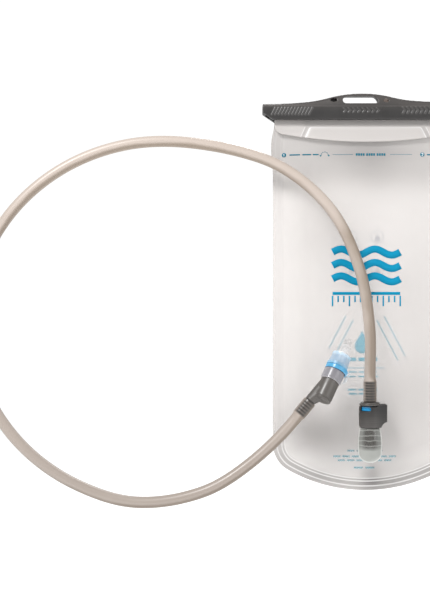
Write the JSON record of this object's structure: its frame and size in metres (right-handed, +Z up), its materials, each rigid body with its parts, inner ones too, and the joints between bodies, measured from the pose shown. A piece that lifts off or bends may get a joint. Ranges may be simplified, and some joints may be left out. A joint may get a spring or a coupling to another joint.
{
  "type": "hydration bladder",
  "caption": "Soft drinking water reservoir with a slide-on top closure, an angled shut-off port, a plug-in drink tube and a twist bite valve.",
  "frame": {"origin": "middle of the upper face of the hang slot in the slider, where a hook carries the reservoir", "axes": "+Z up along the hanging bag, front of the bag faces -Y, +X to the right seen from the front"},
  "size_m": [0.4188, 0.0584, 0.3498],
  "materials": {
    "film": "milky translucent film, satin",
    "weld_strip": "white moulded strip",
    "stiffener": "white sheet",
    "slider_plastic": "dark warm grey, satin moulded",
    "port_plastic": "milky blue translucent moulding",
    "white_plastic": "natural white moulding",
    "seal_rubber": "black seal rubber",
    "spring_steel": "spring wire",
    "button_blue": "blue moulding",
    "fitting_plastic": "dark grey moulding",
    "tube_vinyl": "warm translucent tube",
    "indicator_blue": "bright blue insert",
    "valve_plastic": "dark grey soft satin",
    "silicone": "clear silicone"
  },
  "bodies": {
    "reservoir": {"front_panel": "film", "back_panel": "film", "back_rail": "weld_strip", "flap_rail": "weld_strip", "flap_stiffener": "stiffener", "port_body": "port_plastic", "valve_seat": "white_plastic", "poppet_spring": "spring_steel"},
    "closure": {"slider": "slider_plastic"},
    "button": {"release_button": "button_blue"},
    "shutoff_poppet": {"poppet": "white_plastic", "poppet_seal": "seal_rubber"},
    "hose": {"plug_elbow": "fitting_plastic", "plug_seal_tip": "seal_rubber", "plug_seal_rear": "seal_rubber", "drink_tube": "tube_vinyl", "valve_core": "fitting_plastic", "core_seal_upper": "seal_rubber", "core_seal_lower": "seal_rubber", "valve_indicator": "indicator_blue"},
    "bite_valve": {"shutoff_body": "valve_plastic", "bite_sheath": "silicone"}
  },
  "joints": [
    {"name": "slider_slide", "type": "slide", "parent": "reservoir", "child": "closure", "axis": [-1, 0, 0], "range_m": [0, 0.168]},
    {"name": "plug_release", "type": "slide", "parent": "reservoir", "child": "hose", "axis": [-0.4323, -0.3419, -0.8344], "range_m": [0, 0.02]},
    {"name": "button_press", "type": "slide", "parent": "reservoir", "child": "button", "axis": [-0.8879, 0, 0.46], "range_m": [0, 0.0015], "stiffness_N_per_m": 300},
    {"name": "poppet_travel", "type": "slide", "parent": "reservoir", "child": "shutoff_poppet", "axis": [-0.4323, -0.3419, -0.8344], "range_m": [0, 0.0025]},
    {"name": "valve_twist", "type": "hinge", "parent": "hose", "child": "bite_valve", "pos_m": [0.0053, -0.0215, -0.2626], "axis": [0, 0, 1], "range_deg": [-90, 0]}
  ],
  "couplings": [
    {"joint": "poppet_travel", "follows": "plug_release", "ratio": 0.125}
  ]
}
